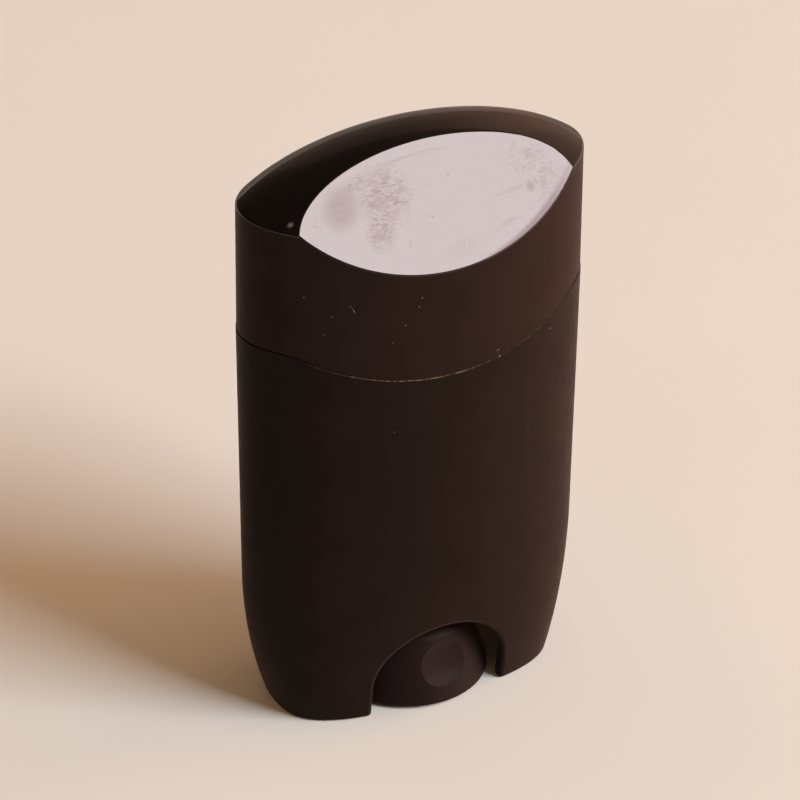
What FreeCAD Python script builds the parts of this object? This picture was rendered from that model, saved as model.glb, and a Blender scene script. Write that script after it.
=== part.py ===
import FreeCAD, Part
import math
import os
import Sketcher
from FreeCAD import Placement, Rotation, Vector

# Empty deodorant stick container, in millimetres.
# The origin is the middle of the footprint on the table, X runs along the
# wide side, -Y is the front with the slanted facet, and +Z is up.

SIZES = [
    # outside of the barrel
    ("seam_half_width", 31.0, "half width of the barrel at its shoulder"),
    ("seam_half_depth", 16.2, "half depth of the barrel at its shoulder"),
    ("seam_height", 74.8, "height of the shoulder at the two ends"),
    ("draft_half_width", 0.9, "half width lost to draft from shoulder to foot"),
    ("draft_half_depth", 2.15, "half depth lost to draft from shoulder to foot"),
    ("tuck_height", 27.0, "height where the wall starts to curve in"),
    ("tuck_width", 4.9, "half width lost to the curve at the foot"),
    ("tuck_depth", 1.95, "half depth lost to the curve at the foot"),
    ("foot_fullness", 2.85, "exponent of the foot's oval; 2 is an ellipse"),
    ("foot_round", 0.7, "radius round the foot's lower edge"),
    # inside of the barrel
    ("skirt_wall", 1.7, "wall of the skirt below the floor"),
    ("floor_underside", 17.5, "height of the floor's lower face"),
    ("floor_thickness", 1.8, "thickness of the floor"),
    ("neck_wall", 1.3, "wall between the neck's outside and the product chamber"),
    ("neck_headroom", 6.2, "height from the neck's rim to the facet's lowest point"),
    ("neck_root", 5.0, "how far the neck runs down into the shoulder"),
    ("neck_clearance", 0.1, "gap between neck and cap, each side"),
    ("neck_round", 0.4, "radius on the rim of the neck"),
    # finger arches at the foot, front and back
    ("arch_half_width", 12.2, "half width of an arch"),
    ("arch_spring", 5.8, "height where the arch starts to round"),
    ("arch_headroom", 1.1, "height from the arch's top to the floor's lower face"),
    ("arch_round", 0.8, "radius on the outer edge of an arch"),
    # seam between barrel and cap
    ("seam_dip", 6.6, "how far the seam dips in the middle of the front"),
    ("dip_half_width", 26.6, "half width of the dip"),
    ("dip_round", 10.0, "radius where the dip runs out into the level seam"),
    ("seam_gap", 0.15, "gap along the seam"),
    ("seam_round", 0.2, "radius on the edge of the shoulder"),
    # cap
    ("cap_step", 0.1, "how far the cap stands inside the barrel's edge"),
    ("cap_wall", 1.4, "wall of the cap's skirt"),
    ("crown_wall", 1.5, "wall of the domed crown"),
    ("crown_rise", 31.5, "height of the crown's top above the shoulder"),
    ("dome_half_height", 17.7, "half axis of the dome along Z"),
    ("dome_length_excess", 5.6, "how much the dome's half axis along X exceeds the cap's"),
    ("dome_breadth_excess", 1.5, "how much the dome's half axis along Y exceeds the cap's"),
    ("facet_angle", 54.5, "slope of the facet from level, in degrees"),
    ("facet_drop", 18.3, "height from the facet's lowest point to the crown's top"),
    ("facet_wall", 1.5, "wall behind the facet"),
    ("rim_round", 0.8, "radius where the dome meets the skirt"),
    ("facet_round", 0.45, "radius on the edges of the facet"),
    # thumb dial
    ("dial_bottom", 0.5, "gap between dial and table"),
    ("dial_radius", 14.1, "radius of the dial at its lower edge"),
    ("dial_shoulder", 10.4, "radius that the cone would have at its top"),
    ("dial_top", 13.0, "height of the dial's flat top"),
    ("dial_wall", 2.2, "wall of the dial's shell"),
    ("dial_round", 2.6, "radius round the top of the dial"),
    ("dial_edge_round", 0.4, "radius round the lower edge of the dial"),
    ("hub_radius", 6.0, "radius of the dial's hub"),
    ("hub_bottom", 4.5, "height of the hub's lower end"),
    ("rib_bottom", 6.5, "height of the lower edge of the dial's ribs"),
    ("rib_width", 1.2, "width of the dial's ribs"),
    ("dimple_count", 4, "thumb dimples round the dial"),
    ("dimple_middle", 7.1, "height of a dimple's middle"),
    ("dimple_half_height", 4.1, "half height of a dimple, along the slope"),
    ("dimple_half_width", 6.5, "half width of a dimple before the cone curves away"),
    ("dimple_depth", 1.2, "depth of a dimple"),
    ("dimple_openness", 0.55, "share of the hollow's ball that stays outside the cone"),
    ("dimple_turn", 6.0, "turn of the first dimple from the front, degrees"),
    # screw spindle
    ("drive_side", 6.0, "side of the square drive"),
    ("drive_fit", 0.03, "gap between drive and socket, each side"),
    ("axial_play", 0.15, "play of the floor between flange and dial"),
    ("journal_radius", 4.5, "radius of the journal in the floor"),
    ("journal_clearance", 0.08, "radial clearance of the journal"),
    ("flange_radius", 6.6, "radius of the spindle's flange"),
    ("flange_thickness", 1.2, "thickness of the flange"),
    ("screw_radius", 3.6, "radius of the screw's core"),
    ("thread_height", 0.4, "height of the thread on the core"),
    ("screw_inset", 3.8, "how far the spindle's tip stays below the neck's rim"),
    ("tip_chamfer", 0.8, "chamfer on the spindle's tip"),
    # platform that carries the stick
    ("platform_clearance", 0.2, "gap between platform and chamber"),
    ("platform_lift_off", 0.7, "gap under the platform when it is down"),
    ("platform_height", 9.0, "height of the platform's skirt"),
    ("platform_plate", 1.5, "thickness of the platform's plate"),
    ("platform_skirt", 1.2, "wall of the platform's skirt"),
    ("nut_radius", 6.2, "outer radius of the threaded collar"),
    ("nut_clearance", 0.08, "radial gap between collar and thread"),
    ("nut_recess", 1.3, "how far the collar ends above the skirt's edge"),
    ("nut_recess_margin", 0.1, "how much wider than the collar its recess is"),
    ("grip_hole_radius", 2.2, "radius of the holes that hold the stick"),
    ("grip_hole_pitch", 7.0, "spacing of those holes along X"),
    ("grip_hole_start", 11.0, "distance of the first hole from the axis"),
    ("web_width", 1.2, "width of the web under the plate"),
    ("web_depth", 3.0, "depth of the web under the plate"),
]

POINT_COUNT = 48        # points that carry one outline of the barrel
SECTION_COUNT = 7       # outlines that carry a curved stretch of the barrel
OVERSHOOT = 5.0         # how far a cutting tool runs past what it cuts
NEAR = 1e-3             # lengths closer than this are the same
SLACK = 0.1             # room round a region that picks out edges
ON_SKIN = 0.02          # how far from 1 the oval's equation may be on the skin
UPRIGHT = 90.0          # angle that turns a form from level to upright, degrees
LEAST_CUT = 0.1         # a cut that removes less than this volume is a mistake
ROUND_SHARE = 0.8       # most of a shoulder's length that a round may take up


class Size:
    """A length or angle with the sheet formula that gives it."""

    def __init__(self, value, formula):
        self.value = float(value)
        self.formula = formula

    def join(self, other, sign, result):
        return Size(result, f"({self.formula} {sign} {other.formula})")

    def __add__(self, other):
        other = as_size(other)
        return self.join(other, "+", self.value + other.value)

    def __sub__(self, other):
        other = as_size(other)
        return self.join(other, "-", self.value - other.value)

    def __mul__(self, other):
        other = as_size(other)
        return self.join(other, "*", self.value * other.value)

    def __truediv__(self, other):
        other = as_size(other)
        return self.join(other, "/", self.value / other.value)

    def __neg__(self):
        return Size(-self.value, f"(-1 * {self.formula})")


def as_size(number):
    return number if isinstance(number, Size) else Size(number, repr(float(number)))


def cosine(angle):
    return Size(math.cos(math.radians(angle.value)), f"cos({angle.formula} * 1 deg)")


def sine(angle):
    return Size(math.sin(math.radians(angle.value)), f"sin({angle.formula} * 1 deg)")


def make_sheet(doc):
    """Puts the driving dimensions into a spreadsheet and returns them by name."""
    sheet = doc.addObject("Spreadsheet::Sheet", "Sizes")
    sizes = {}
    for row, (name, value, meaning) in enumerate(SIZES, start=1):
        sheet.set(f"A{row}", meaning)
        sheet.set(f"B{row}", str(value))
        sheet.setAlias(f"B{row}", name)
        sizes[name] = Size(value, f"Sizes.{name}")
    doc.recompute()
    return sizes


doc = FreeCAD.newDocument("DeodorantStick")
S = make_sheet(doc)


# ---- helpers for Part objects ------------------------------------------------

def drive(obj, prop, size):
    """Binds one property of an object to the sheet."""
    obj.setExpression(prop, as_size(size).formula)


def place(obj, x=0.0, y=0.0, z=0.0, turn_x=None):
    """Places an object, turned about X by an angle in degrees."""
    sizes = [as_size(value) for value in (x, y, z)]
    angle = as_size(turn_x if turn_x is not None else 0.0)
    obj.Placement = Placement(
        Vector(*[size.value for size in sizes]),
        Rotation(Vector(1, 0, 0), angle.value),
    )
    for axis, size in zip("xyz", sizes):
        drive(obj, f"Placement.Base.{axis}", size)
    if turn_x is not None:
        drive(obj, "Placement.Rotation.Angle", angle)
    return obj


def ellipse_prism(name, half_width, half_depth, bottom, top):
    """Upright elliptic prism about the Z axis."""
    outline = doc.addObject("Part::Ellipse", f"{name}_outline")
    drive(outline, "MajorRadius", half_width)
    drive(outline, "MinorRadius", half_depth)
    place(outline, z=bottom)
    prism = doc.addObject("Part::Extrusion", name)
    prism.Base = outline
    prism.DirMode = "Custom"
    prism.Dir = Vector(0, 0, 1)
    prism.Solid = True
    drive(prism, "LengthFwd", as_size(top) - bottom)
    return prism


def box(name, length, width, height, x, y, z, turn_x=None):
    block = doc.addObject("Part::Box", name)
    drive(block, "Length", length)
    drive(block, "Width", width)
    drive(block, "Height", height)
    return place(block, x, y, z, turn_x)


def cylinder(name, radius, height, x=0.0, y=0.0, z=0.0, turn_x=None):
    drum = doc.addObject("Part::Cylinder", name)
    drive(drum, "Radius", radius)
    drive(drum, "Height", height)
    return place(drum, x, y, z, turn_x)


def fuse(name, *pieces):
    result = doc.addObject("Part::MultiFuse", name)
    result.Shapes = list(pieces)
    result.Refine = True
    return result


def common(name, base, tool):
    result = doc.addObject("Part::Common", name)
    result.Base = base
    result.Tool = tool
    return result


def cut(name, base, tool):
    result = doc.addObject("Part::Cut", name)
    result.Base = base
    result.Tool = tool
    return result


def round_edges(name, base, *choices):
    """Rounds edges of a Part object; each choice is a test and the radius it gives."""
    doc.recompute()
    rounded = []
    for number, edge in enumerate(base.Shape.Edges, start=1):
        radius = next((size.value for test, size in choices if test(edge)), None)
        if radius:
            rounded.append((number, radius, radius))
    result = doc.addObject("Part::Fillet", name)
    result.Base = base
    result.Edges = rounded
    return result


# ---- helpers for PartDesign bodies -------------------------------------------

def origin_item(body, role):
    return next(item for item in body.Origin.OriginFeatures if item.Role == role)


def sketch_on(body, name, role="XY_Plane", height=None):
    """A sketch on one of the body's own origin planes, raised by height."""
    sketch = body.newObject("Sketcher::SketchObject", name)
    sketch.AttachmentSupport = (origin_item(body, role), [""])
    sketch.MapMode = "FlatFace"
    if height is not None:
        sketch.AttachmentOffset = Placement(Vector(0, 0, height.value), Rotation())
        drive(sketch, "AttachmentOffset.Base.z", height)
    return sketch


def bind_last(sketch, size):
    """Binds the sketch's newest constraint to the sheet."""
    number = sketch.ConstraintCount - 1
    sketch.setExpression(f"Constraints[{number}]", as_size(size).formula)


def fix_point(sketch, line, end, x, y):
    """Holds one end of a line at (x, y) from the sketch's origin."""
    for kind, size, axis in (("DistanceX", x, -2), ("DistanceY", y, -1)):
        size = as_size(size)
        if size.value == 0.0:
            sketch.addConstraint(Sketcher.Constraint("PointOnObject", line, end, axis))
        elif size.value > 0:
            sketch.addConstraint(Sketcher.Constraint(kind, -1, 1, line, end, size.value))
            bind_last(sketch, size)
        else:
            sketch.addConstraint(Sketcher.Constraint(kind, line, end, -1, 1, -size.value))
            bind_last(sketch, -size)


def add_polygon(sketch, corners):
    """Closed outline through the corners, each held from the origin."""
    corners = [(as_size(x), as_size(y)) for x, y in corners]
    points = [Vector(x.value, y.value, 0) for x, y in corners]
    first = sketch.GeometryCount
    count = len(points)
    for i in range(count):
        sketch.addGeometry(Part.LineSegment(points[i], points[(i + 1) % count]), False)
    for i in range(count):
        here, after = first + i, first + (i + 1) % count
        sketch.addConstraint(Sketcher.Constraint("Coincident", here, 2, after, 1))
        fix_point(sketch, here, 1, *corners[i])
    return sketch


def add_circle(sketch, radius, x=0.0, y=0.0):
    centre = Vector(as_size(x).value, as_size(y).value, 0)
    number = sketch.addGeometry(Part.Circle(centre, Vector(0, 0, 1), radius.value), False)
    sketch.addConstraint(Sketcher.Constraint("Radius", number, radius.value))
    bind_last(sketch, radius)
    fix_point(sketch, number, 3, x, y)
    return sketch


def add_ellipse(sketch, half_width, half_depth):
    """Ellipse about the origin, its long axis along X."""
    curve = Part.Ellipse(Vector(0, 0, 0), half_width.value, half_depth.value)
    number = sketch.addGeometry(curve, False)
    sketch.exposeInternalGeometry(number)
    sketch.addConstraint(Sketcher.Constraint("Coincident", number, 3, -1, 1))
    sketch.addConstraint(Sketcher.Constraint("Horizontal", number + 1))
    for axis, half in ((number + 1, half_width), (number + 2, half_depth)):
        sketch.addConstraint(Sketcher.Constraint("Distance", axis, 2 * half.value))
        bind_last(sketch, half * 2)
    return sketch


def pad(body, name, sketch, length, down=False):
    feature = body.newObject("PartDesign::Pad", name)
    feature.Profile = sketch
    feature.Reversed = down
    drive(feature, "Length", length)
    doc.recompute()
    return feature


def pocket(body, name, sketch, length, up=False):
    """Cuts the sketch into the body and makes sure that it removed something."""
    before = body.Shape.Volume
    feature = body.newObject("PartDesign::Pocket", name)
    feature.Profile = sketch
    feature.Reversed = up
    drive(feature, "Length", length)
    doc.recompute()
    if body.Shape.Volume > before - LEAST_CUT:
        raise RuntimeError(f"{name} cuts nothing")
    return feature


def revolve(body, name, sketch):
    feature = body.newObject("PartDesign::Revolution", name)
    feature.Profile = sketch
    feature.ReferenceAxis = (sketch, ["V_Axis"])
    feature.Angle = 360.0
    doc.recompute()
    return feature


def dress(body, kind, name, choose, size):
    """A Fillet or Chamfer on the edges of the body that the test picks out."""
    doc.recompute()
    base = body.Tip
    numbers = [i for i, edge in enumerate(base.Shape.Edges, start=1) if choose(edge)]
    feature = body.newObject(f"PartDesign::{kind}", name)
    feature.Base = (base, [f"Edge{number}" for number in numbers])
    drive(feature, "Radius" if kind == "Fillet" else "Size", size)
    doc.recompute()
    return feature


def at_height(edge, height):
    """True when the whole edge lies at one height."""
    bounds = edge.BoundBox
    return abs(bounds.ZMin - height) < NEAR and abs(bounds.ZMax - height) < NEAR


def is_ring(edge, radius, height):
    """True for a circle about the Z axis with this radius and height."""
    if not at_height(edge, height) or not isinstance(edge.Curve, Part.Circle):
        return False
    return abs(edge.Curve.Radius - radius) < NEAR


# ---- shared positions --------------------------------------------------------

FLOOR_TOP = S["floor_underside"] + S["floor_thickness"]
SEAM_LOWEST = S["seam_height"] - S["seam_dip"]
CROWN_TOP = S["seam_height"] + S["crown_rise"]
DOME_CENTRE = CROWN_TOP - S["dome_half_height"]
FACET_FOOT = CROWN_TOP - S["facet_drop"]
NECK_TOP = FACET_FOOT - S["neck_headroom"]
SCREW_TOP = NECK_TOP - S["screw_inset"]
DIP_RADIUS = (
    S["dip_half_width"] * S["dip_half_width"] + S["seam_dip"] * S["seam_dip"]
) / (S["seam_dip"] * 2)
DIP_CENTRE = SEAM_LOWEST + DIP_RADIUS
CAP_HALF_WIDTH = S["seam_half_width"] - S["cap_step"]
CAP_HALF_DEPTH = S["seam_half_depth"] - S["cap_step"]
NECK_INSET = S["cap_step"] + S["cap_wall"] + S["neck_clearance"]
ARCH_TOP = S["floor_underside"] - S["arch_headroom"]
NECK_HALF_WIDTH = S["seam_half_width"] - NECK_INSET
NECK_HALF_DEPTH = S["seam_half_depth"] - NECK_INSET
BORE_HALF_WIDTH = NECK_HALF_WIDTH - S["neck_wall"]
BORE_HALF_DEPTH = NECK_HALF_DEPTH - S["neck_wall"]
BLOCK_HALF = S["seam_half_width"] + OVERSHOOT
BLOCK_DEPTH_HALF = S["seam_half_depth"] + OVERSHOOT


# ---- seam between barrel and cap ---------------------------------------------

def seam_block(name, gap):
    """Everything below the seam, grown by gap: level, with a dip across the front."""
    level = box(
        f"{name}_level", BLOCK_HALF * 2, BLOCK_DEPTH_HALF * 2, S["seam_height"] + gap + OVERSHOOT,
        -BLOCK_HALF, -BLOCK_DEPTH_HALF, -OVERSHOOT,
    )
    dip = cylinder(
        f"{name}_dip", DIP_RADIUS - gap, BLOCK_DEPTH_HALF + OVERSHOOT,
        z=DIP_CENTRE, turn_x=UPRIGHT,
    )
    dipped = cut(f"{name}_dipped", level, dip)
    return round_edges(f"{name}_block", dipped, (is_dip_end, dip_end_radius() + gap))


def dip_end_radius():
    """Radius where the dip runs out, limited by the room between its end and the side."""
    room = (S["seam_half_width"] - S["dip_half_width"]).value
    turn = math.asin(S["dip_half_width"].value / DIP_RADIUS.value)
    largest = room * ROUND_SHARE / math.tan(turn / 2)
    return S["dip_round"] if S["dip_round"].value < largest else as_size(largest)


def is_dip_end(edge):
    """A straight edge from the middle to the front, where the dip leaves the level."""
    bounds = edge.BoundBox
    if bounds.XLength > NEAR or bounds.YLength < S["seam_half_depth"].value:
        return False
    return bounds.ZMin > SEAM_LOWEST.value and abs(bounds.XMin) < S["seam_half_width"].value


# ---- barrel ------------------------------------------------------------------

def wall_line(z):
    """Half width, half depth and fullness of the barrel's outline at a height."""
    top = S["seam_height"].value
    tuck = (max(S["tuck_height"].value - z, 0.0) / S["tuck_height"].value) ** 2
    draft = (top - z) / top
    half_width = S["seam_half_width"].value - S["draft_half_width"].value * draft
    half_depth = S["seam_half_depth"].value - S["draft_half_depth"].value * draft
    half_width -= S["tuck_width"].value * tuck
    half_depth -= S["tuck_depth"].value * tuck
    fullness = 2.0 + (S["foot_fullness"].value - 2.0) * tuck
    return half_width, half_depth, fullness


def oval_wire(z, inset=0.0):
    """The barrel's outline at a height, moved inwards by inset."""
    half_width, half_depth, fullness = wall_line(z)
    points = []
    for i in range(POINT_COUNT):
        angle = 2 * math.pi * i / POINT_COUNT
        across, along = math.cos(angle), math.sin(angle)
        x = math.copysign(abs(across) ** (2 / fullness), across) * (half_width - inset)
        y = math.copysign(abs(along) ** (2 / fullness), along) * (half_depth - inset)
        points.append(Vector(x, y, z))
    curve = Part.BSplineCurve()
    curve.interpolate(Points=points, PeriodicFlag=True)
    return Part.Wire(curve.toShape())


def tapered_solid(name, heights, inset=0.0, straight=False):
    """Solid whose outlines follow the barrel's wall at these heights."""
    solid = doc.addObject("Part::Feature", name)
    wires = [oval_wire(z, inset) for z in heights]
    solid.Shape = Part.makeLoft(wires, True, straight)
    return solid


def spread(low, high, count):
    return [low + (high - low) * i / (count - 1) for i in range(count)]


def make_barrel():
    tuck_top = S["tuck_height"].value
    foot = tapered_solid("barrel_foot_skin", spread(0.0, tuck_top, SECTION_COUNT))
    upper_heights = [tuck_top, S["seam_height"].value]
    upper = tapered_solid("barrel_upper_skin", upper_heights, straight=True)
    skin = fuse("barrel_skin", foot, upper)

    shouldered = common("barrel_shouldered", skin, seam_block("barrel_seam", as_size(0.0)))
    rim = round_edges("barrel_shoulder_round", shouldered, (is_shoulder_edge, S["seam_round"]))

    neck = ellipse_prism(
        "barrel_neck", NECK_HALF_WIDTH, NECK_HALF_DEPTH,
        SEAM_LOWEST - S["neck_root"], NECK_TOP,
    )
    outside = fuse("barrel_outside", rim, neck)

    chamber = ellipse_prism(
        "barrel_chamber", BORE_HALF_WIDTH, BORE_HALF_DEPTH,
        FLOOR_TOP, NECK_TOP + OVERSHOOT,
    )
    hollow = tapered_solid(
        "barrel_base_hollow",
        spread(-OVERSHOOT, S["floor_underside"].value, SECTION_COUNT),
        S["skirt_wall"].value,
    )
    bearing = cylinder(
        "barrel_bearing_hole", S["journal_radius"] + S["journal_clearance"],
        NECK_TOP, z=OVERSHOOT,
    )
    arch = make_arch_tool()
    spaces = fuse("barrel_spaces", chamber, hollow, bearing)
    walls = cut("barrel_walls", outside, spaces)
    arched = cut("barrel_arched", walls, arch)

    lipped = round_edges("barrel_arch_round", arched, (is_arch_lip, S["arch_round"]))
    footed = round_edges("barrel_foot_round", lipped, (is_foot_edge, S["foot_round"]))
    barrel = round_edges("barrel_neck_round", footed, (is_neck_rim, S["neck_round"]))
    barrel.Label = "barrel"
    return barrel


def make_arch_tool():
    """Round-headed passage through the skirt, front to back."""
    length = BLOCK_DEPTH_HALF * 2
    outline = doc.addObject("Part::Ellipse", "arch_outline")
    drive(outline, "MajorRadius", S["arch_half_width"])
    drive(outline, "MinorRadius", ARCH_TOP - S["arch_spring"])
    place(outline, y=BLOCK_DEPTH_HALF, z=S["arch_spring"], turn_x=UPRIGHT)
    head = doc.addObject("Part::Extrusion", "arch_head")
    head.Base = outline
    head.DirMode = "Custom"
    head.Dir = Vector(0, -1, 0)
    head.Solid = True
    drive(head, "LengthFwd", length)
    jambs = box(
        "arch_jambs", S["arch_half_width"] * 2, length, S["arch_spring"] + OVERSHOOT,
        -S["arch_half_width"], -BLOCK_DEPTH_HALF, -OVERSHOOT,
    )
    return fuse("arch_tool", head, jambs)


def on_skin(edge):
    """True when the middle of the edge lies on the barrel's outer skin."""
    middle = edge.valueAt((edge.FirstParameter + edge.LastParameter) / 2)
    half_width, half_depth, fullness = wall_line(middle.z)
    reach = abs(middle.x / half_width) ** fullness + abs(middle.y / half_depth) ** fullness
    return abs(reach - 1.0) < ON_SKIN


def is_shoulder_edge(edge):
    """The outer rim of the shoulder: on the skin, no lower than the dip."""
    return edge.BoundBox.ZMin > SEAM_LOWEST.value - SLACK and on_skin(edge)


def is_arch_lip(edge):
    """The outer edge of an arch: on the skin, off the foot, within the arch."""
    bounds = edge.BoundBox
    half = S["arch_half_width"].value + SLACK
    top = ARCH_TOP.value + SLACK
    if bounds.XMin < -half or bounds.XMax > half or bounds.ZMax > top:
        return False
    return not at_height(edge, 0.0) and on_skin(edge)


def is_foot_edge(edge):
    """The outer edge of the foot's two halves."""
    return at_height(edge, 0.0) and on_skin(edge)


def is_neck_rim(edge):
    return at_height(edge, NECK_TOP.value)


# ---- cap ---------------------------------------------------------------------

def facet_block(name, depth):
    """Slanted block whose lower face lies depth inside the facet's plane."""
    angle = S["facet_angle"]
    reach = BLOCK_HALF
    foot_y = -CAP_HALF_DEPTH + sine(angle) * depth
    foot_z = FACET_FOOT - cosine(angle) * depth
    return box(
        name, BLOCK_HALF * 2, reach * 3, BLOCK_HALF * 2,
        -BLOCK_HALF, foot_y - cosine(angle) * reach, foot_z - sine(angle) * reach, angle,
    )


def domed_form(name, side_inset, dome_inset):
    """The cap's outer form moved inwards: an elliptic prism under a dome."""
    bottom = SEAM_LOWEST - OVERSHOOT
    prism = ellipse_prism(
        f"{name}_prism", CAP_HALF_WIDTH - side_inset, CAP_HALF_DEPTH - side_inset,
        bottom, CROWN_TOP + OVERSHOOT,
    )
    dome = doc.addObject("Part::Ellipsoid", f"{name}_dome")
    drive(dome, "Radius1", S["dome_half_height"] - dome_inset)
    drive(dome, "Radius2", CAP_HALF_WIDTH + S["dome_length_excess"] - dome_inset)
    drive(dome, "Radius3", CAP_HALF_DEPTH + S["dome_breadth_excess"] - dome_inset)
    place(dome, z=DOME_CENTRE)
    below = box(
        f"{name}_below_dome", BLOCK_HALF * 2, BLOCK_DEPTH_HALF * 2,
        DOME_CENTRE - bottom + OVERSHOOT,
        -BLOCK_HALF, -BLOCK_DEPTH_HALF, bottom - OVERSHOOT,
    )
    return common(f"{name}_domed", prism, fuse(f"{name}_limit", dome, below))


def make_cap():
    outer = domed_form("cap_outer", as_size(0.0), as_size(0.0))
    faceted = cut("cap_faceted", outer, facet_block("cap_facet", as_size(0.0)))
    inside = domed_form("cap_inside", S["cap_wall"], S["crown_wall"])
    hollow = cut("cap_hollow", inside, facet_block("cap_facet_back", S["facet_wall"]))

    trimmed = cut("cap_trimmed", faceted, seam_block("cap_seam", S["seam_gap"]))
    rounded = round_edges(
        "cap_crown_round", trimmed,
        (is_facet_edge, S["facet_round"]), (is_dome_rim, S["rim_round"]),
    )
    cap = cut("cap", rounded, hollow)
    cap.Label = "cap"
    return cap


def along_edge(edge):
    """Three points spread over an edge."""
    span = edge.LastParameter - edge.FirstParameter
    return [edge.valueAt(edge.FirstParameter + span * share) for share in (0.1, 0.5, 0.9)]


def is_facet_edge(edge):
    """An edge that lies in the facet's plane."""
    angle = math.radians(S["facet_angle"].value)
    rise, run = math.cos(angle), math.sin(angle)
    return all(
        abs((point.z - FACET_FOOT.value) * rise - (point.y + CAP_HALF_DEPTH.value) * run) < NEAR
        for point in along_edge(edge)
    )


def is_dome_rim(edge):
    """An edge where the dome meets the skirt: level with the dome and on the skirt."""
    return edge.BoundBox.ZMin > DOME_CENTRE.value and all(
        abs((point.x / CAP_HALF_WIDTH.value) ** 2 + (point.y / CAP_HALF_DEPTH.value) ** 2 - 1.0) < NEAR
        for point in along_edge(edge)
    )


# ---- thumb dial --------------------------------------------------------------

def make_dial():
    body = doc.addObject("PartDesign::Body", "thumb_dial")
    body.Label = "thumb_dial"
    wall = S["dial_wall"]
    inner_top = S["dial_top"] - wall
    hub_top = S["floor_underside"] - S["axial_play"]
    profile = sketch_on(body, "dial_profile", "XZ_Plane")
    add_polygon(profile, [
        (0.0, S["hub_bottom"]),
        (S["hub_radius"], S["hub_bottom"]),
        (S["hub_radius"], inner_top),
        (S["dial_shoulder"] - wall, inner_top),
        (S["dial_radius"] - wall, S["dial_bottom"]),
        (S["dial_radius"], S["dial_bottom"]),
        (S["dial_shoulder"], S["dial_top"]),
        (S["hub_radius"], S["dial_top"]),
        (S["hub_radius"], hub_top),
        (0.0, hub_top),
    ])
    revolve(body, "dial_shell", profile)

    ribs = sketch_on(body, "dial_rib_outline", height=S["rib_bottom"])
    reach = S["dial_shoulder"]
    half = S["rib_width"] / 2
    add_polygon(ribs, [
        (-reach, -half), (-half, -half), (-half, -reach), (half, -reach),
        (half, -half), (reach, -half), (reach, half), (half, half),
        (half, reach), (-half, reach), (-half, half), (-reach, half),
    ])
    pad(body, "dial_ribs", ribs, inner_top - S["rib_bottom"])

    top = S["dial_top"].value
    dress(body, "Fillet", "dial_top_round",
          lambda edge: is_ring(edge, S["dial_shoulder"].value, top), S["dial_round"])
    dress(body, "Fillet", "dial_edge_round",
          lambda edge: is_ring(edge, S["dial_radius"].value, S["dial_bottom"].value),
          S["dial_edge_round"])
    add_dimples(body)

    socket = sketch_on(body, "dial_socket_outline", height=hub_top)
    side = S["drive_side"] / 2 + S["drive_fit"]
    add_polygon(socket, [(-side, -side), (side, -side), (side, side), (-side, side)])
    pocket(body, "dial_socket", socket, hub_top - S["hub_bottom"] + OVERSHOOT)
    return body


def add_dimples(body):
    """Shallow hollows for the thumb, evenly spaced round the cone.

    Each is a flattened ball, tilted to the cone's slope, whose centre stays
    outside the cone.
    """
    rise = (S["dial_top"] - S["dial_bottom"]).value
    run = (S["dial_radius"] - S["dial_shoulder"]).value
    lean = math.atan2(run, rise)
    openness = S["dimple_openness"].value
    half_thickness = S["dimple_depth"].value / (1.0 - openness)
    spread_out = 1.0 / math.sqrt(1.0 - openness * openness)
    lift = half_thickness * openness
    share = (S["dimple_middle"].value - S["dial_bottom"].value) / rise
    out = S["dial_radius"].value - run * share + lift * math.cos(lean)
    up = S["dimple_middle"].value + lift * math.sin(lean)
    heading = S["dimple_turn"].value - UPRIGHT

    ball = body.newObject("PartDesign::SubtractiveEllipsoid", "dial_dimple")
    ball.AttachmentSupport = (origin_item(body, "XY_Plane"), [""])
    ball.MapMode = "FlatFace"
    slope = Rotation(Vector(0, 1, 0), -math.degrees(lean))
    turn = Rotation(Vector(0, 0, 1), heading)
    ball.AttachmentOffset = Placement(turn.multVec(Vector(out, 0, up)), turn * slope)
    ball.Radius1 = S["dimple_half_height"].value * spread_out
    ball.Radius2 = half_thickness
    ball.Radius3 = S["dimple_half_width"].value * spread_out
    doc.recompute()
    pattern = body.newObject("PartDesign::PolarPattern", "dial_dimples")
    pattern.Originals = [ball]
    pattern.Axis = (origin_item(body, "Z_Axis"), [""])
    pattern.Angle = 360.0
    pattern.Occurrences = int(S["dimple_count"].value)
    body.Tip = pattern
    doc.recompute()


# ---- screw spindle -----------------------------------------------------------

def make_spindle():
    body = doc.addObject("PartDesign::Body", "screw_spindle")
    body.Label = "screw_spindle"
    journal_bottom = S["floor_underside"] - S["axial_play"]
    flange_bottom = FLOOR_TOP + S["axial_play"]
    flange_top = flange_bottom + S["flange_thickness"]
    profile = sketch_on(body, "spindle_profile", "XZ_Plane")
    add_polygon(profile, [
        (0.0, journal_bottom),
        (S["journal_radius"], journal_bottom),
        (S["journal_radius"], flange_bottom),
        (S["flange_radius"], flange_bottom),
        (S["flange_radius"], flange_top),
        (S["screw_radius"], flange_top),
        (S["screw_radius"], SCREW_TOP),
        (0.0, SCREW_TOP),
    ])
    revolve(body, "spindle_shaft", profile)
    dress(body, "Chamfer", "spindle_tip",
          lambda edge: is_ring(edge, S["screw_radius"].value, SCREW_TOP.value),
          S["tip_chamfer"])

    drive_outline = sketch_on(body, "spindle_drive_outline", height=journal_bottom)
    side = S["drive_side"] / 2
    add_polygon(drive_outline, [(-side, -side), (side, -side), (side, side), (-side, side)])
    pad(body, "spindle_drive", drive_outline, journal_bottom - S["hub_bottom"], down=True)
    return body


# ---- platform ----------------------------------------------------------------

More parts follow.
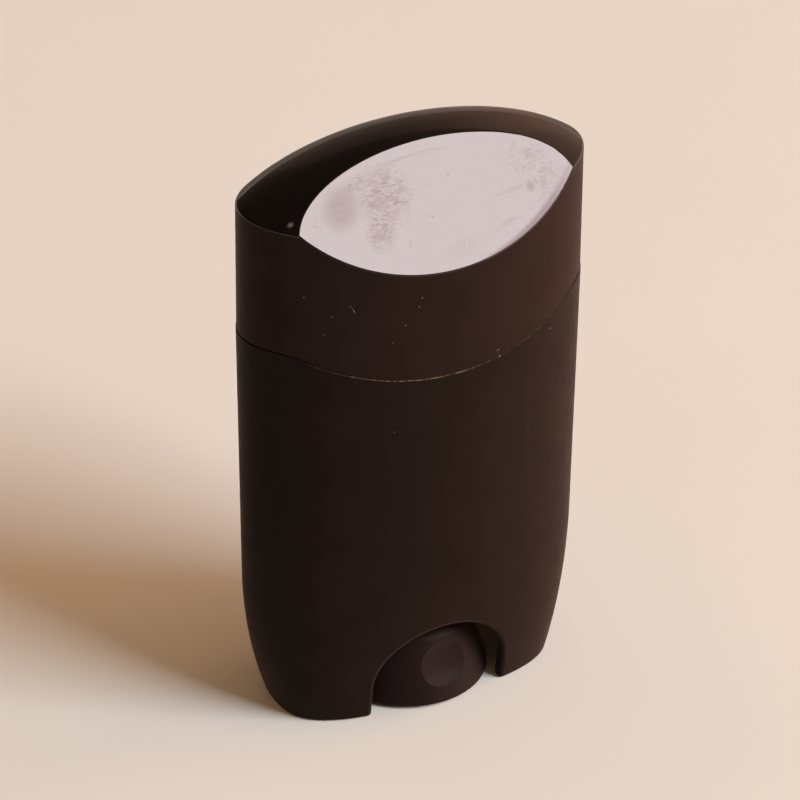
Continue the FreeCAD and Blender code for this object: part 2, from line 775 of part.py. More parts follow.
def make_platform():
    body = doc.addObject("PartDesign::Body", "platform")
    body.Label = "platform"
    bottom = FLOOR_TOP + S["platform_lift_off"]
    top = bottom + S["platform_height"]
    plate_underside = top - S["platform_plate"]
    half_width = BORE_HALF_WIDTH - S["platform_clearance"]
    half_depth = BORE_HALF_DEPTH - S["platform_clearance"]

    outline = sketch_on(body, "platform_outline", height=bottom)
    add_ellipse(outline, half_width, half_depth)
    pad(body, "platform_block", outline, S["platform_height"])

    hollow = sketch_on(body, "platform_hollow_outline", height=bottom)
    add_ellipse(hollow, half_width - S["platform_skirt"], half_depth - S["platform_skirt"])
    add_circle(hollow, S["nut_radius"])
    pocket(body, "platform_hollow", hollow, S["platform_height"] - S["platform_plate"], up=True)

    recess = sketch_on(body, "platform_nut_end", height=bottom)
    add_circle(recess, S["nut_radius"] + S["nut_recess_margin"])
    pocket(body, "platform_nut_recess", recess, S["nut_recess"], up=True)

    bore = sketch_on(body, "platform_nut_bore", height=bottom)
    add_circle(bore, S["screw_radius"] + S["thread_height"] + S["nut_clearance"])
    pocket(body, "platform_nut", bore, S["platform_height"] + OVERSHOOT, up=True)

    web = sketch_on(body, "platform_web_outline", height=plate_underside)
    half_web = S["web_width"] / 2
    inner = S["nut_radius"] - half_web
    outer = half_width - S["platform_skirt"] / 2
    for near, far in ((inner, outer), (-outer, -inner)):
        add_polygon(web, [(near, -half_web), (far, -half_web), (far, half_web), (near, half_web)])
    pad(body, "platform_webs", web, S["web_depth"], down=True)

    holes = sketch_on(body, "platform_grip_outline", height=plate_underside)
    offset = half_depth / 2 - half_web
    for step in range(2):
        reach = S["grip_hole_start"] + S["grip_hole_pitch"] * step
        for x in (reach, -reach):
            for y in (offset, -offset):
                add_circle(holes, S["grip_hole_radius"], x, y)
    pocket(body, "platform_grip_holes", holes, S["platform_plate"] + OVERSHOOT, up=True)
    return body


# ---- check and write ---------------------------------------------------------

def check_and_write(pieces):
    doc.recompute()
    for obj in doc.Objects:
        if "Invalid" in obj.State or "Error" in obj.State:
            raise RuntimeError(f"{obj.Label} failed: {obj.State}")
    for piece in pieces:
        shape = piece.Shape
        if shape.isNull() or not shape.isValid() or len(shape.Solids) != 1:
            raise RuntimeError(f"{piece.Label} is not one valid solid")
    os.makedirs("parts", exist_ok=True)
    for piece in pieces:
        piece.Shape.exportStep(f"parts/{piece.Label}.step")
        bounds = piece.Shape.BoundBox
        print(f"{piece.Label:14s} {piece.Shape.Volume / 1000:7.2f} cm3  "
              f"x {bounds.XMin:.2f}..{bounds.XMax:.2f}  "
              f"y {bounds.YMin:.2f}..{bounds.YMax:.2f}  z {bounds.ZMin:.2f}..{bounds.ZMax:.2f}")


check_and_write([
    make_barrel(),
    make_cap(),
    make_dial(),
    make_spindle(),
    make_platform(),
])
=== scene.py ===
import math
from typing import NamedTuple

import bpy
from mathutils import Matrix, Vector


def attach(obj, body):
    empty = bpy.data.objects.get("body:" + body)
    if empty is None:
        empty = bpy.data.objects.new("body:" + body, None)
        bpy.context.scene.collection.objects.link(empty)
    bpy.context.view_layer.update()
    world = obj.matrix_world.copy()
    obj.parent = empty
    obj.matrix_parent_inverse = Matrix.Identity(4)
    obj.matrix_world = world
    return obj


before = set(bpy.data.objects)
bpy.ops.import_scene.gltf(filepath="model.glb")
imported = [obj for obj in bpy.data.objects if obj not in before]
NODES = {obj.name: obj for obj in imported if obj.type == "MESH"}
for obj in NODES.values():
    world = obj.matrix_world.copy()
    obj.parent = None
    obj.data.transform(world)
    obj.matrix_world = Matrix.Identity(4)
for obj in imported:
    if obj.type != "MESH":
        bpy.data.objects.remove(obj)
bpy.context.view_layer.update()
MM = 0.001


# ---- the object's measures, in millimetres -------------------------------------

AXES = ((1, 0, 0), (0, 1, 0), (0, 0, 1))
ENDLESS = 1e6

# The cap's dome is an ellipsoid, and the facet a plane through its lowest point.
DOME_CENTRE = Vector((0.0, 0.0, 88.6))
DOME_HALF = Vector((36.5, 17.6, 17.7))
FACET_FOOT = Vector((0.0, -16.1, 88.0))
FACET_SLOPE = math.radians(54.5)
FACET_NORMAL = Vector((0.0, -math.sin(FACET_SLOPE), math.cos(FACET_SLOPE)))
FACET_UP = Vector((0.0, math.cos(FACET_SLOPE), math.sin(FACET_SLOPE)))

# The seam dips at the front along a circle that faces the front.
DIP_RADIUS = 56.903
DIP_CENTRE = Vector((0.0, 0.0, 68.2 + DIP_RADIUS))

# The screw's thread: a ridge wound on the core, with its ends run out in half a turn.
THREAD_ROOT = 3.54
THREAD_CREST = 3.99
THREAD_LEAD = 4.0
THREAD_LOW = 22.0
THREAD_HIGH = 76.6
THREAD_PROFILE = ((-0.75, 0.0), (-0.30, 1.0), (0.30, 1.0), (0.75, 0.0))
THREAD_STEPS = 48
THREAD_END_STEPS = 24


# ---- colours and marks -----------------------------------------------------------

BARREL_TONES = ((0.0072, 0.0034, 0.0024), (0.0088, 0.0042, 0.0030))
DIAL_TONES = ((0.0125, 0.0066, 0.0056), (0.0145, 0.0078, 0.0066))
CAP_TONES = ((0.0112, 0.0053, 0.0038), (0.0134, 0.0064, 0.0046))
POLISHED_TONE = (0.0045, 0.0026, 0.0018)
INNER_TONES = ((0.70, 0.68, 0.61), (0.80, 0.78, 0.72))
PAPER_TONES = ((0.765, 0.680, 0.590), (0.785, 0.695, 0.605))
SMUDGE_TONE = (0.072, 0.037, 0.028)
# Tone of the facet's haze, and of the painted reflection band along its lower right edge.
HAZE_AND_REFLECTION_TONE = (0.058, 0.030, 0.036)
LINT = (0.25, 0.19, 0.155)
# Pale seam edge on the barrel: partly wear, partly a painted highlight.
SEAM_WEAR_AND_HIGHLIGHT = (0.150, 0.085, 0.062)
# Colour of a painted glint on the dome.
PAINTED_GLINT = (0.125, 0.112, 0.080)

# What every dark moulded surface has, polished or not.
SATIN = {
    "Specular_IOR_Level": 0.05,
    "Sheen_Weight": 0.06,
    "Sheen_Roughness": 0.45,
    "Sheen_Tint": (1.0, 0.66, 0.52),
}


class Speck(NamedTuple):
    """Small oval thing on a surface: lean in degrees from level, the rest in millimetres."""
    centre: tuple
    outward: tuple
    lean: float
    half_length: float
    half_width: float
    soft: float = 0.5
    bend: float = 0.0


class Mark(NamedTuple):
    """Oval mark on the facet: its place along and up the slope, and its strength."""
    along: float
    up: float
    lean: float
    half_length: float
    half_width: float
    soft: float = 0.5
    bend: float = 0.0
    strength: float = 1.0


CAP_DUST = (
    Speck((-24.4, -9.9, 86.0), (-0.47, -0.70, 0), 35, 0.20, 0.08),
    Speck((-17.1, -13.4, 83.4), (-0.29, -0.83, 0), 112, 0.75, 0.045, bend=0.9),
    Speck((-17.6, -13.2, 84.2), (-0.30, -0.82, 0), 20, 0.30, 0.045, bend=0.9),
    Speck((-20.4, -12.1, 82.4), (-0.36, -0.78, 0), 20, 0.14, 0.07),
    Speck((-21.5, -11.6, 79.1), (-0.39, -0.77, 0), 70, 0.18, 0.06),
    Speck((-5.9, -15.8, 84.2), (-0.09, -0.89, 0), 60, 0.19, 0.06),
    Speck((-6.4, -15.75, 82.6), (-0.10, -0.89, 0), 100, 0.16, 0.06),
    Speck((-8.7, -15.45, 79.5), (-0.13, -0.89, 0), 75, 0.14, 0.06),
    Speck((-10.8, -15.1, 76.5), (-0.17, -0.88, 0), 40, 0.12, 0.06),
    Speck((8.4, -15.5, 70.1), (0.13, -0.89, 0), 15, 0.40, 0.06, bend=-0.5),
)
BARREL_DUST = (
    Speck((20.0, -12.25, 69.35), (0.35, -0.79, 0), 10, 0.30, 0.05, bend=0.3),
    Speck((8.9, -15.6, 68.75), (0.14, -0.89, 0), 62, 0.42, 0.06, bend=0.2),
    Speck((-10.3, -14.85, 59.0), (-0.16, -0.88, 0), 80, 0.15, 0.06),
    Speck((15.6, -13.4, 51.2), (0.27, -0.84, 0), 30, 0.12, 0.07),
)
# Painted glint on the dome beside the facet's left tip.
CORNER_GLINT = Speck((-25.6, -7.55, 98.6), (-0.55, -0.69, 1.47), 35, 0.75, 0.55, soft=0.9)

GREASE_BLOTCH = Mark(-16.7, 14.1, 60, 5.3, 4.6, 0.75, strength=0.66)
SMEARS = (
    Mark(-8.9, 14.4, 66, 7.0, 6.4, 0.7),
    Mark(-10.8, 9.6, 75, 5.2, 3.6, 0.7),
    Mark(-13.4, 16.9, 24, 5.0, 2.8, 0.8, strength=0.9),
)
SMEAR_STRENGTH = 0.92
SMEAR_TAIL = Mark(-11.4, 8.3, 138, 2.6, 0.9, 0.9, strength=0.66)
SMEAR_CORNER = Mark(-20.6, 13.0, 30, 3.6, 2.4, 0.9, strength=0.34)
HAZE_TIP = Mark(18.6, 12.4, 118, 9.0, 5.6, 0.8, strength=0.66)
HAZE_STREAK = Mark(13.4, 10.5, 6, 5.0, 0.75, 0.95, strength=0.40)
HAZE_LOW_STREAK = Mark(10.8, 5.3, 16, 4.8, 0.8, 0.95, strength=0.34)
HAZE_STAIN = Mark(16.7, 10.3, 96, 1.6, 1.2, 0.9, strength=0.62)
ARC_STRENGTH = 0.36
# Strength of the painted reflection band along the facet's lower right edge.
RIM_REFLECTION_STRENGTH = 0.90
FILM_STRENGTH = 0.12
FINGERPRINT = Mark(2.4, 3.3, 8, 4.6, 2.4, 0.7, strength=0.26)
FINGER_RIDGE = 0.45
HAIRS = (
    Mark(3.0, 15.3, 75, 0.75, 0.06, 0.6, 1.2),
    Mark(-1.6, 9.3, 125, 0.62, 0.07, 0.6, 0.8),
    Mark(-6.6, 5.8, 65, 1.1, 0.05, 0.6, 0.6),
    Mark(10.8, 20.0, 20, 0.16, 0.08),
    Mark(13.2, 16.4, 0, 0.12, 0.10),
    Mark(9.75, 12.7, 30, 0.24, 0.07),
    Mark(12.8, 15.0, 60, 0.12, 0.08),
    Mark(-12.3, 8.4, 10, 1.0, 0.05, 0.6, 0.5),
)
HAIR_STRENGTH = 0.9
SCRATCHES = (
    Mark(-10.7, 11.4, 104, 2.5, 0.07, 0.5, 0.35),
    Mark(-10.9, 10.9, 112, 1.6, 0.05, 0.5, -0.3),
    Mark(-13.9, 9.9, 8, 2.3, 0.22, 0.8, -0.5, strength=0.6),
)

MIRROR_UNDER_GREASE = 0.45
MIRROR_LOSS_AT_EDGE = 0.85


# ---- node building ---------------------------------------------------------------

class Graph:
    """A node tree that is filled in code."""

    def __init__(self, tree):
        self.tree = tree

    def put(self, socket, value):
        if isinstance(value, bpy.types.NodeSocket):
            self.tree.links.new(value, socket)
        elif isinstance(value, (int, float)):
            socket.default_value = value
        else:
            values = list(value)
            if len(values) == 3 and len(socket.default_value) == 4:
                values.append(1.0)
            socket.default_value = values

    def add(self, kind, *inputs, **settings):
        """A new node, with inputs for its first sockets, in order."""
        node = self.tree.nodes.new(kind)
        for name, value in settings.items():
            setattr(node, name, value)
        for socket, value in zip(node.inputs, inputs):
            self.put(socket, value)
        return node

    def maths(self, operation, a, b=0.0):
        return self.add("ShaderNodeMath", a, b, operation=operation).outputs[0]

    def times(self, *values):
        result = values[0]
        for value in values[1:]:
            result = self.maths("MULTIPLY", result, value)
        return result

    def largest(self, *values):
        result = values[0]
        for value in values[1:]:
            result = self.maths("MAXIMUM", result, value)
        return result

    def blend(self, value, low, high, out_low=0.0, out_high=1.0, kind="SMOOTHSTEP"):
        """Goes from out_low at low to out_high at high."""
        inputs = (value, low, high, out_low, out_high)
        return self.add("ShaderNodeMapRange", *inputs, interpolation_type=kind).outputs[0]

    def split(self, vector):
        return self.add("ShaderNodeSeparateXYZ", vector).outputs

    def join(self, x, y, z=0.0):
        return self.add("ShaderNodeCombineXYZ", x, y, z).outputs[0]


class Shader(Graph):
    """A material whose nodes work in millimetres."""

    def __init__(self, name):
        self.material = bpy.data.materials.new(name)
        self.material.use_nodes = True
        super().__init__(self.material.node_tree)
        self.surface = self.tree.nodes["Principled BSDF"]
        place = self.add("ShaderNodeTexCoord").outputs
        self.normal = place["Normal"]
        self.point = self.scaled(place["Object"], 1.0 / MM)
        self.x, self.y, self.z = self.split(self.point)

    def set(self, **values):
        for name, value in values.items():
            self.put(self.surface.inputs[name.replace("_", " ")], value)

    def vector(self, operation, a, b):
        return self.add("ShaderNodeVectorMath", a, b, operation=operation).outputs["Vector"]

    def scaled(self, vector, scale):
        node = self.add("ShaderNodeVectorMath", vector, operation="SCALE")
        self.put(node.inputs["Scale"], scale)
        return node.outputs["Vector"]

    def length(self, vector):
        return self.add("ShaderNodeVectorMath", vector, operation="LENGTH").outputs["Value"]

    def dot(self, a, b):
        return self.add("ShaderNodeVectorMath", a, b, operation="DOT_PRODUCT").outputs["Value"]

    def noise(self, scale, detail=2.0, roughness=0.5, distortion=0.0, point=None):
        """Noise whose features repeat about every 1/scale millimetres."""
        node = self.add("ShaderNodeTexNoise", point or self.point)
        for name, value in (
            ("Scale", scale), ("Detail", detail),
            ("Roughness", roughness), ("Distortion", distortion),
        ):
            node.inputs[name].default_value = value
        return node.outputs[0]

    def mix(self, factor, a, b):
        """Goes from the colour a to the colour b."""
        node = self.add("ShaderNodeMix", factor, data_type="RGBA")
        self.put(node.inputs[6], a)
        self.put(node.inputs[7], b)
        return node.outputs[2]

    def level(self, factor, a, b):
        """Goes from the number a to the number b."""
        node = self.add("ShaderNodeMix", factor)
        self.put(node.inputs[2], a)
        self.put(node.inputs[3], b)
        return node.outputs[0]

    def squashed(self, centre, directions, lengths):
        """The point seen from a centre, each direction divided by its length."""
        away = self.vector("SUBTRACT", self.point, centre)
        return self.join(*(
            self.maths("DIVIDE", self.dot(away, direction), length)
            for direction, length in zip(directions, lengths)
        ))

    def oval(self, speck, depth=1.5):
        """Mask of a small oval thing, no further than depth from its surface."""
        normal = Vector(speck.outward).normalized()
        level = Vector((0, 0, 1)).cross(normal).normalized()
        rise = normal.cross(level)
        lean = math.radians(speck.lean)
        along = level * math.cos(lean) + rise * math.sin(lean)
        across = normal.cross(along)
        lengths = (speck.half_length, speck.half_width, depth)
        place = self.squashed(speck.centre, (along, across, normal), lengths)
        if speck.bend:
            x, y, z = self.split(place)
            sag = self.times(x, x, speck.bend)
            place = self.join(x, self.maths("SUBTRACT", y, sag), z)
        return self.blend(self.length(place), 1.0, 1.0 - speck.soft)

    def bump(self, height, distance_mm, strength):
        node = self.add("ShaderNodeBump")
        node.inputs["Strength"].default_value = strength
        node.inputs["Distance"].default_value = distance_mm * MM
        self.put(node.inputs["Height"], height)
        return node.outputs[0]


# ---- dark moulded plastic --------------------------------------------------------

def satin_colour(made, tones, dust):
    """Faint mottling and a few things stuck to the surface."""
    mottle = made.noise(0.09, 3.0, 0.55)
    colour = made.mix(made.blend(mottle, 0.35, 0.65), *tones)
    for speck in dust:
        colour = made.mix(made.oval(speck), colour, LINT)
    return colour


def satin_grain(made, share=1.0):
    """Fine grain that the mould leaves, where share isn't 0."""
    height = made.times(made.noise(7.0, 2.0, 0.6), share)
    return made.bump(height, distance_mm=0.006, strength=0.4)


def satin_shell(name, tones, dust=(), wear_and_highlight=False):
    """Dark moulded plastic; the flag lightens its edge along the seam with wear and a painted
    highlight.
    """
    made = Shader(name)
    colour = satin_colour(made, tones, dust)
    roughness = made.blend(made.noise(0.25, 4.0, 0.6, 0.4), 0.3, 0.7, 0.46, 0.54)
    if wear_and_highlight:
        # Painted highlight and wear along the barrel's edge at the seam.
        colour = made.mix(seam_wear_and_highlight(made), colour, SEAM_WEAR_AND_HIGHLIGHT)
        roughness = made.level(inward_side(made), roughness, 1.0)
    made.set(Base_Color=colour, Roughness=roughness, Normal=satin_grain(made), **SATIN)
    return made


def inward_side(made):
    """Mask of the faces that look towards the axis; the mould's core leaves them coarse."""
    outward = made.vector("MULTIPLY", made.point, (1.0, 1.0, 0.0))
    return made.blend(made.dot(made.normal, outward), -0.5, -3.0)


def seam_wear_and_highlight(made):
    """Mask of the pale line on the barrel's edge, partly wear and partly a painted highlight,
    strongest left of the middle.
    """
    from_centre = made.length(made.squashed(DIP_CENTRE, AXES, (1.0, ENDLESS, 1.0)))
    below = made.maths("ABSOLUTE", made.maths("SUBTRACT", from_centre, DIP_RADIUS + 0.10))
    line = made.blend(below, 0.13, 0.03)
    left = made.blend(made.x, -26.0, -13.0)
    right = made.blend(made.x, -1.5, 9.0, 1.0, 0.22)
    patchy = made.blend(made.noise(1.6, 3.0, 0.7), 0.38, 0.62, 0.1, 1.0)
    front = made.blend(made.y, -6.0, -8.0)
    return made.times(line, left, right, patchy, front)


# ---- the cap's polished dome and facet -------------------------------------------

def from_dome(made):
    """Distance from the dome's centre, 1 on its surface."""
    return made.length(made.squashed(DOME_CENTRE, AXES, DOME_HALF))


def dome_mask(made):
    """Mask of the dome, without the round where it meets the skirt."""
    on_dome = made.blend(from_dome(made), 0.990, 0.996)
    return made.times(on_dome, made.blend(made.z, 89.2, 90.2))


def facet_mask(made):
    """Mask of the flat facet, without the round on its edges."""
    away = made.vector("SUBTRACT", made.point, FACET_FOOT)
    off_facet = made.dot(away, FACET_NORMAL)
    return made.blend(made.maths("ABSOLUTE", off_facet), 0.10, 0.05)


class FacetMarks:
    """Smudges, fingerprints, scratches and a painted reflection band on the polished facet, as
    masks.
    """

    def __init__(self, made):
        self.made = made
        away = made.vector("SUBTRACT", made.point, FACET_FOOT)
        self.up = made.dot(away, FACET_UP)
        wiped = self.drawn_out(4.0, 0.5, 1.1, 4.0, 0.5)
        self.streaky = made.blend(wiped, 0.35, 0.62, 0.25, 1.0)
        self.film = made.times(made.blend(wiped, 0.45, 0.75), FILM_STRENGTH)

    def drawn_out(self, run, rise, scale, detail=3.0, distortion=0.0):
        """Noise drawn out along the facet (run) or up its slope (rise)."""
        made = self.made
        place = made.join(made.maths("DIVIDE", made.x, run), made.maths("DIVIDE", self.up, rise))
        return made.noise(scale, detail, 0.6, distortion, place)

    def spot(self, mark, *masks):
        """Mask of a mark at its strength, times the masks."""
        centre = FACET_FOOT + Vector((mark.along, 0.0, 0.0)) + FACET_UP * mark.up
        shape = (mark.lean, mark.half_length, mark.half_width, mark.soft, mark.bend)
        oval = self.made.oval(Speck(centre, FACET_NORMAL, *shape))
        return self.made.times(oval, *masks, mark.strength)

    def grease(self):
        """Warm blotch and finely ridged smear at the left."""
        made, spot = self.made, self.spot
        mottled = made.blend(made.noise(1.3, 6.0, 0.75), 0.34, 0.56, 0.62, 1.0)
        ridges = made.blend(self.drawn_out(1.5, 0.13, 1.0, 1.0, 0.3), 0.40, 0.58, 0.12, 1.0)
        ragged = made.blend(made.noise(0.8, 5.0, 0.7, 0.6), 0.38, 0.56, 0.42, 1.0)
        smear = made.largest(*(spot(mark) for mark in SMEARS))
        thin = made.blend(made.noise(1.8, 4.0, 0.65), 0.3, 0.6, 0.45, 1.0)
        dabbed = made.blend(self.drawn_out(0.7, 0.5, 1.0), 0.40, 0.66)
        return made.largest(
            spot(GREASE_BLOTCH, mottled),
            made.times(smear, ridges, ragged, SMEAR_STRENGTH),
            spot(SMEAR_TAIL, thin),
            spot(SMEAR_CORNER, dabbed),
        )

    def haze_and_rim_reflection(self):
        """Mottling at the right tip, streaks before it, a thin film all over, and a painted
        reflection band along the lower right edge.
        """
        made, spot = self.made, self.spot
        cloud = made.blend(made.noise(0.50, 5.0, 0.7, 0.8), 0.38, 0.66)
        patchy = made.blend(made.noise(1.5, 4.0), 0.3, 0.55, 0.3, 1.0)
        return made.largest(
            spot(HAZE_TIP, cloud, self.streaky),
            spot(HAZE_STREAK, self.streaky),
            spot(HAZE_LOW_STREAK, self.streaky),
            spot(HAZE_STAIN, patchy),
            self.wiped_arc(),
            self.rim_reflection_band(),
            self.film,
        )

    def wiped_arc(self):
        """Arc that a cloth left, just inside the upper edge."""
        made = self.made
        dome = from_dome(made)
        band = made.times(made.blend(dome, 0.900, 0.918), made.blend(dome, 0.938, 0.922))
        ends = made.times(made.blend(made.x, -16.0, -9.0), made.blend(made.x, 7.0, -2.0))
        return made.times(band, ends, self.streaky, ARC_STRENGTH)

    def rim_reflection_band(self):
        """Painted reflection of the edge's round: a band along the lower right edge, wider
        towards the tip.
        """
        made = self.made
        wall = made.length(made.squashed((0, 0, 0), AXES, (30.9, 16.1, ENDLESS)))
        start = made.blend(made.x, 0.0, 18.0, 0.985, 0.940, kind="LINEAR")
        band = made.blend(wall, start, made.maths("ADD", start, 0.034))
        ends = made.times(made.blend(made.x, 1.0, 9.0), made.blend(made.x, 26.0, 19.0, 0.3, 1.0))
        return made.times(band, ends, RIM_REFLECTION_STRENGTH)

    def fingerprint(self):
        """Fine ridges of a fingertip near the lower edge."""
        made = self.made
        waver = made.times(made.noise(0.5, 1.0), 2.2)
        phase = made.times(made.maths("ADD", made.x, waver), 2 * math.pi / FINGER_RIDGE)
        return self.spot(FINGERPRINT, made.blend(made.maths("SINE", phase), 0.1, 0.9))

    def hairs(self):
        """Hairs and dust that hide the mirror."""
        hairs = self.made.largest(*(self.spot(mark) for mark in HAIRS))
        return self.made.times(hairs, HAIR_STRENGTH)

    def unscratched(self):
        """0 where a clean line is drawn through the smear, 1 elsewhere."""
        lines = self.made.largest(*(self.spot(mark) for mark in SCRATCHES))
        return self.made.maths("SUBTRACT", 1.0, lines)


def polished_cap(name):
    """The cap's plastic: satin on the skirt, polished on the dome and the facet."""
    made = Shader(name)
    marks = FacetMarks(made)
    facet = facet_mask(made)
    dome = dome_mask(made)
    polish = made.largest(dome, facet)
    grease = made.times(marks.grease(), marks.unscratched(), facet)
    # The haze mask also holds a painted reflection band along the facet's lower right edge.
    haze_and_rim_reflection = made.times(marks.haze_and_rim_reflection(), facet)
    smudge = made.largest(grease, haze_and_rim_reflection, marks.fingerprint(), marks.hairs())

    colour = satin_colour(made, CAP_TONES, CAP_DUST)
    for mask, tone in (
        (polish, POLISHED_TONE),
        (grease, SMUDGE_TONE),
        (haze_and_rim_reflection, HAZE_AND_REFLECTION_TONE),
        # the painted glint by the facet's left tip
        (made.oval(CORNER_GLINT), PAINTED_GLINT),
    ):
        colour = made.mix(mask, colour, tone)

    # The dome's polish fades where it is seen at a flat angle.
    grazing = made.blend(made.add("ShaderNodeLayerWeight").outputs["Facing"], 0.60, 0.80)
    sharp = made.maths("SUBTRACT", 1.0, made.times(dome, grazing, MIRROR_LOSS_AT_EDGE))
    clean = made.blend(smudge, 0.0, 1.0, 1.0, MIRROR_UNDER_GREASE, kind="LINEAR")
    made.set(
        Base_Color=colour,
        Roughness=0.5,
        Coat_Weight=made.times(polish, clean, sharp),
        Coat_Roughness=0.055,
        Coat_IOR=1.5,
        Normal=satin_grain(made, made.maths("SUBTRACT", 1.0, polish)),
        **SATIN,
    )
    return made


# ---- inner pieces ----------------------------------------------------------------

def inner_plastic(name):
    """Natural polypropylene of the inner pieces."""
    made = Shader(name)
    grain = made.noise(5.0, 2.0, 0.6)
    made.set(
        Base_Color=made.mix(made.noise(0.12, 3.0, 0.5), *INNER_TONES),
        Roughness=made.blend(grain, 0.3, 0.7, 0.34, 0.44),
        Normal=made.bump(grain, distance_mm=0.004, strength=0.4),
        Subsurface_Weight=0.25,
        Subsurface_Radius=(0.004, 0.003, 0.0025),
        Subsurface_Scale=0.5,
    )
    return made


def new_object(name, verts, faces, shader):
    mesh = bpy.data.meshes.new(name)
    mesh.from_pydata(verts, [], faces)
    mesh.validate()
    mesh.update()
    mesh.materials.append(shader.material)
    made = bpy.data.objects.new(name, mesh)
    bpy.context.scene.collection.objects.link(made)
    return made


def make_thread():
    """Right-hand ridge wound on the spindle's core."""
    count = int((THREAD_HIGH - THREAD_LOW) / THREAD_LEAD * THREAD_STEPS)
    verts, faces = [], []
    for i in range(count + 1):
        angle = 2 * math.pi * i / THREAD_STEPS
        height = THREAD_LOW + THREAD_LEAD * i / THREAD_STEPS
        end = min(1.0, i / THREAD_END_STEPS, (count - i) / THREAD_END_STEPS)
        for rise, share in THREAD_PROFILE:
            radius = THREAD_ROOT + (THREAD_CREST - THREAD_ROOT) * share * end
            place = (radius * math.cos(angle), radius * math.sin(angle), height + rise)
            verts.append([MM * value for value in place])
    width = len(THREAD_PROFILE)
    for i in range(count):
        for j in range(width):
            a, b = i * width + j, i * width + (j + 1) % width
            faces.append((a, a + width, b + width, b))
    faces.append(tuple(reversed(range(width))))
    faces.append(tuple(count * width + j for j in range(width)))
    thread = new_object("screw_thread", verts, faces, inner_plastic("natural_plastic_thread"))
    for polygon in thread.data.polygons:
        polygon.use_smooth = True
    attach(thread, "dial")


# ---- stage, light and camera -----------------------------------------------------

FLOOR_RINGS = (0.3, 1.0, 3.0)
FLOOR_SPOKES = 64


def paper_floor(name):
    made = Shader(name)
    made.set(
        Base_Color=made.mix(made.noise(0.02, 3.0, 0.5), *PAPER_TONES),
        Roughness=0.9,
        Specular_IOR_Level=0.15,
        Normal=made.bump(made.noise(1.2, 4.0, 0.6), distance_mm=0.02, strength=0.3),
    )
    return made


def make_floor():
    verts, faces = [(0.0, 0.0, 0.0)], []
    for radius in FLOOR_RINGS:
        for i in range(FLOOR_SPOKES):
            angle = 2 * math.pi * i / FLOOR_SPOKES
            verts.append((radius * math.cos(angle), radius * math.sin(angle), 0.0))
    for i in range(FLOOR_SPOKES):
        after = (i + 1) % FLOOR_SPOKES
        faces.append((0, 1 + i, 1 + after))
        for ring in range(len(FLOOR_RINGS) - 1):
            a, b = 1 + ring * FLOOR_SPOKES, 1 + (ring + 1) * FLOOR_SPOKES
            faces.append((a + i, b + i, b + after, a + after))
    new_object("floor", verts, faces, paper_floor("paper_floor"))


def direction(azimuth, elevation):
    """Unit vector towards a place seen from the object; azimuth 0 is -Y, 90 is +X."""
    a, e = math.radians(azimuth), math.radians(elevation)
    return Vector((math.sin(a) * math.cos(e), -math.cos(a) * math.cos(e), math.sin(e)))


class Lamp(NamedTuple):
    """Soft panel that faces the object: degrees, metres and watts."""
    name: str
    azimuth: float
    elevation: float
    distance: float
    size: tuple
    watts: float
    colour: tuple
    lights_colour: bool
    seen_in_gloss: bool


# One softbox in two: key lights the colours, and softbox, just in front, shows in gloss.
LAMPS = (
    Lamp("key", 39, 35, 5.0, (2.67, 2.67), 316.0, (0.78, 0.92, 1.07), True, False),
    Lamp("softbox", 39, 35, 4.95, (2.65, 2.65), 326.0, (1.05, 0.90, 0.90), False, True),
    Lamp("right", 78, 4, 5.0, (4.28, 0.78), 640.0, (1.0, 0.68, 0.50), True, False),
)
LAMP_AIM = Vector((0, 0, 0.05))

FILL_LIGHT = (1.0, 0.68, 0.42), 0.35
ROOM_COLOUR = (1.0, 0.61, 0.45)
ROOM_LEVEL = 0.015
WINDOW_LEVEL = 0.46
WALL_LEVEL = 0.10
PAPER_COLOUR = (0.80, 0.70, 0.60)


def make_lamp(lamp):
    light = bpy.data.lights.new(lamp.name, "AREA")
    light.shape = "RECTANGLE"
    light.size, light.size_y = lamp.size
    light.energy = lamp.watts
    light.color = lamp.colour
    made = bpy.data.objects.new(lamp.name, light)
    heading = direction(lamp.azimuth, lamp.elevation)
    made.location = heading * lamp.distance + LAMP_AIM
    made.rotation_mode = "QUATERNION"
    made.rotation_quaternion = heading.to_track_quat("Z", "Y")
    made.visible_camera = False
    made.visible_diffuse = lamp.lights_colour
    made.visible_glossy = lamp.seen_in_gloss
    bpy.context.scene.collection.objects.link(made)


class Sky(Graph):
    """The studio round the object: plain fill, and a room for gloss to mirror."""

    def __init__(self):
        self.world = bpy.data.worlds.new("studio")
        bpy.context.scene.world = self.world
        self.world.use_nodes = True
        super().__init__(self.world.node_tree)
        self.tree.nodes.clear()
        x, y, z = self.split(self.add("ShaderNodeTexCoord").outputs["Generated"])
        degrees = 180.0 / math.pi
        self.azimuth = self.times(self.maths("ARCTAN2", x, self.times(y, -1.0)), degrees)
        self.elevation = self.times(self.maths("ARCSINE", z), degrees)

    def background(self, colour, strength):
        return self.add("ShaderNodeBackground", colour, strength).outputs[0]

    def choose(self, factor, no, yes):
        return self.add("ShaderNodeMixShader", factor, no, yes).outputs[0]

    def room(self):
        """Brightness of the dim room: a window and a wall at the right of the object."""
        azimuth = self.azimuth
        window = self.times(
            self.blend(azimuth, 66.0, 98.0), self.blend(azimuth, 150.0, 124.0), WINDOW_LEVEL,
        )
        wall = self.times(
            self.blend(azimuth, 118.0, 140.0), self.blend(azimuth, 180.0, 172.0), WALL_LEVEL,
        )
        low = self.blend(self.elevation, 41.0, 35.0)
        lit = self.times(self.maths("ADD", window, wall), low)
        return self.maths("ADD", lit, ROOM_LEVEL)


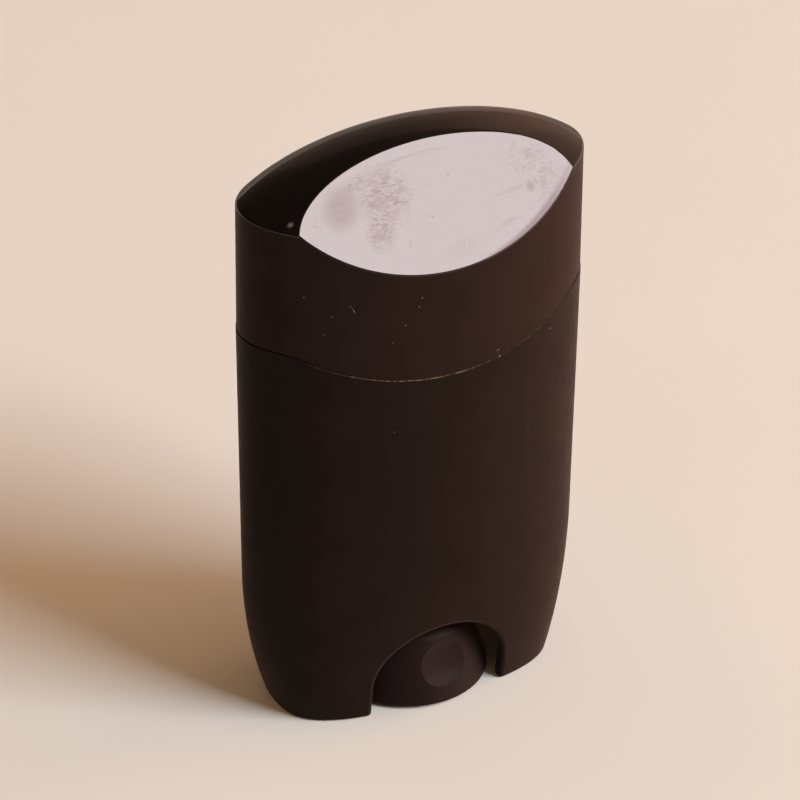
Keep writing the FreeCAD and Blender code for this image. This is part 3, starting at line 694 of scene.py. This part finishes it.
def make_world():
    sky = Sky()
    ray = sky.add("ShaderNodeLightPath").outputs
    fill = sky.background(*FILL_LIGHT)
    paper = sky.background(PAPER_COLOUR, 1.0)
    gloss = sky.background(ROOM_COLOUR, sky.room())
    gloss = sky.choose(sky.blend(sky.elevation, 3.0, 1.0), gloss, paper)
    seen = sky.choose(ray["Is Glossy Ray"], fill, gloss)
    seen = sky.choose(ray["Is Transmission Ray"], seen, paper)
    seen = sky.choose(ray["Is Camera Ray"], seen, paper)
    sky.add("ShaderNodeOutputWorld", seen)


CAMERA_AZIMUTH = -27.466
CAMERA_ELEVATION = 32.427
CAMERA_ROLL = math.radians(0.636)
CAMERA_DISTANCE = 0.884528
CAMERA_AIM = Vector((0, 0, 0.055))
SENSOR_WIDTH = 36.0              # in millimetres, as is the lens
LENS = 237.69387
LENS_SHIFT = (-0.0108275, -0.0069375)


def make_camera():
    back = direction(CAMERA_AZIMUTH, CAMERA_ELEVATION)
    right = direction(CAMERA_AZIMUTH + 90.0, 0.0)
    up = back.cross(right)
    across = right * math.cos(CAMERA_ROLL) + up * math.sin(CAMERA_ROLL)
    above = up * math.cos(CAMERA_ROLL) - right * math.sin(CAMERA_ROLL)
    data = bpy.data.cameras.new("camera")
    data.sensor_width = SENSOR_WIDTH
    data.lens = LENS
    data.shift_x, data.shift_y = LENS_SHIFT
    data.clip_start, data.clip_end = 0.01, 50.0
    camera = bpy.data.objects.new("camera", data)
    turn = Matrix((across, above, back)).transposed().to_4x4()
    camera.matrix_world = Matrix.Translation(CAMERA_AIM + back * CAMERA_DISTANCE) @ turn
    bpy.context.scene.collection.objects.link(camera)
    bpy.context.scene.camera = camera


# ---- everything together ---------------------------------------------------------

for node_name, shader in (
    ("barrel", satin_shell("moulded_shell_barrel", BARREL_TONES, BARREL_DUST, wear_and_highlight=True)),
    ("cap", polished_cap("polished_cap")),
    ("thumb_dial", satin_shell("moulded_shell_dial", DIAL_TONES)),
    ("screw_spindle", inner_plastic("natural_plastic_spindle")),
    ("platform", inner_plastic("natural_plastic_platform")),
):
    for slot in NODES[node_name].material_slots:
        slot.material = shader.material
make_thread()
make_floor()
for lamp in LAMPS:
    make_lamp(lamp)
make_world()
make_camera()
bpy.context.scene.view_settings.view_transform = "Standard"
